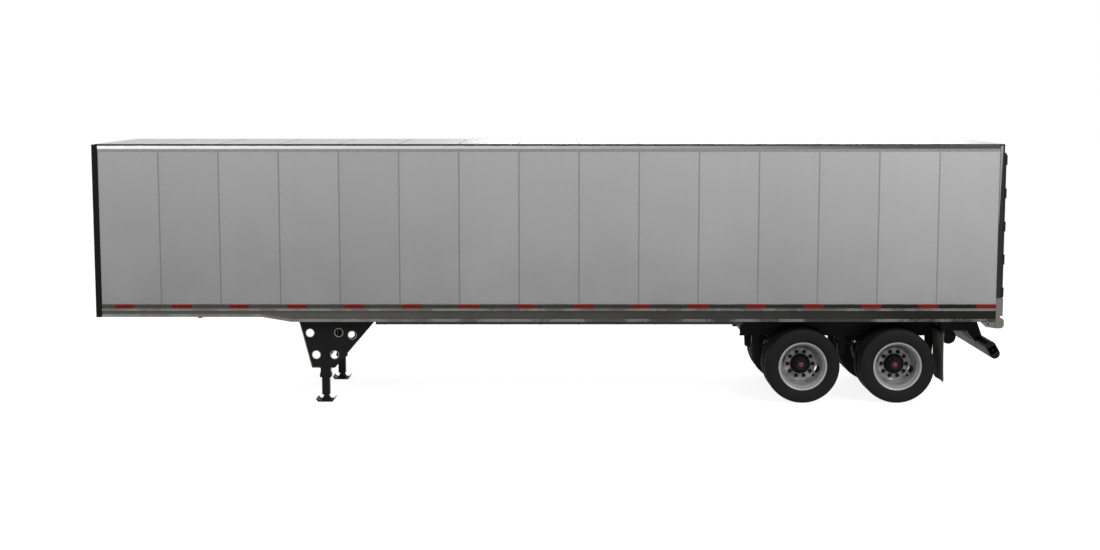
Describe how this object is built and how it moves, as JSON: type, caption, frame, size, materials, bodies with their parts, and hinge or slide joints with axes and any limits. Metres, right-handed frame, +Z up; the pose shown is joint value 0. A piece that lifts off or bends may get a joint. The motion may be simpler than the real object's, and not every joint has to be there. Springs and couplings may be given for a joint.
{
  "type": "semi trailer",
  "caption": "Box van semi trailer with plate side walls, rear swing doors, landing gear and a sliding tandem bogie on twin wheels.",
  "frame": {"origin": "on the ground under the middle of the trailer's overall length and width", "axes": "-X towards the nose, +X towards the rear doors, +Y towards the right side, +Z up"},
  "size_m": [13.84, 2.637, 3.962],
  "materials": {
    "floor_wood": "oiled hardwood",
    "floor_steel": "satin black",
    "rail_aluminium": "mill finish",
    "wall_plate": "smooth satin grey",
    "inner_aluminium": "mill finish",
    "post_paint": "satin dark grey",
    "sill_steel": "galvanised",
    "lamp_red": "gloss",
    "black_paint": "satin black",
    "flap_rubber": "matt",
    "door_skin": "smooth satin",
    "door_hardware": "zinc plated",
    "tyre_rubber": "matt",
    "polished_rim": "polished",
    "hub_black": "satin black"
  },
  "bodies": {
    "trailer_body": {"floor_boards": "floor_wood", "floor_crossmembers": "floor_steel", "left_bottom_rail": "rail_aluminium", "right_bottom_rail": "rail_aluminium", "left_side_panels": "wall_plate", "right_side_panels": "wall_plate", "left_wall_posts": "inner_aluminium", "right_wall_posts": "inner_aluminium", "left_top_rail": "rail_aluminium", "right_top_rail": "rail_aluminium", "roof_sheet": "wall_plate", "roof_bows": "inner_aluminium", "front_wall_panels": "wall_plate", "front_wall_posts": "inner_aluminium", "front_corner_posts": "rail_aluminium", "left_rear_post": "post_paint", "right_rear_post": "post_paint", "rear_header": "post_paint", "rear_sill": "sill_steel", "dock_bumpers": "sill_steel", "rear_lamps": "lamp_red", "upper_coupler": "floor_steel", "kingpin": "sill_steel", "nose_service_box": "sill_steel", "left_landing_leg": "black_paint", "right_landing_leg": "black_paint", "left_landing_gusset": "black_paint", "right_landing_gusset": "black_paint", "landing_gear_brace": "black_paint", "landing_gear_crank": "black_paint", "slider_body_rails": "floor_steel", "underride_guard": "black_paint"},
    "left_door": {"left_rear_door": "door_skin", "left_door_hinges": "door_hardware", "left_lock_rods": "door_hardware"},
    "right_door": {"right_rear_door": "door_skin", "right_door_hinges": "door_hardware", "right_lock_rods": "door_hardware"},
    "bogie": {"bogie_frame": "black_paint", "spring_hangers": "black_paint", "leaf_springs": "black_paint", "front_axle": "black_paint", "rear_axle": "black_paint", "brake_chambers": "black_paint", "mud_flaps": "flap_rubber", "mud_flap_bracket": "black_paint", "air_tank": "black_paint"},
    "front_left_wheel_pair": {"front_left_tyres": "tyre_rubber", "front_left_rims": "polished_rim", "front_left_hub": "hub_black"},
    "front_right_wheel_pair": {"front_right_tyres": "tyre_rubber", "front_right_rims": "polished_rim", "front_right_hub": "hub_black"},
    "rear_left_wheel_pair": {"rear_left_tyres": "tyre_rubber", "rear_left_rims": "polished_rim", "rear_left_hub": "hub_black"},
    "rear_right_wheel_pair": {"rear_right_tyres": "tyre_rubber", "rear_right_rims": "polished_rim", "rear_right_hub": "hub_black"}
  },
  "joints": [
    {"name": "left_door_hinge", "type": "hinge", "parent": "trailer_body", "child": "left_door", "pos_m": [6.886, -1.3075, 2.6], "axis": [0, 0, -1], "range_deg": [0, 270]},
    {"name": "right_door_hinge", "type": "hinge", "parent": "trailer_body", "child": "right_door", "pos_m": [6.886, 1.3075, 2.6], "axis": [0, 0, 1], "range_deg": [0, 270]},
    {"name": "tandem_slide", "type": "slide", "parent": "trailer_body", "child": "bogie", "axis": [-1, 0, 0], "range_m": [0, 1.83]},
    {"name": "front_left_wheel_turn", "type": "hinge", "parent": "bogie", "child": "front_left_wheel_pair", "pos_m": [3.877, -0.958, 0.572], "axis": [0, 1, 0], "continuous": true},
    {"name": "front_right_wheel_turn", "type": "hinge", "parent": "bogie", "child": "front_right_wheel_pair", "pos_m": [3.877, 0.958, 0.572], "axis": [0, 1, 0], "continuous": true},
    {"name": "rear_left_wheel_turn", "type": "hinge", "parent": "bogie", "child": "rear_left_wheel_pair", "pos_m": [5.323, -0.958, 0.572], "axis": [0, 1, 0], "continuous": true},
    {"name": "rear_right_wheel_turn", "type": "hinge", "parent": "bogie", "child": "rear_right_wheel_pair", "pos_m": [5.323, 0.958, 0.572], "axis": [0, 1, 0], "continuous": true}
  ]
}
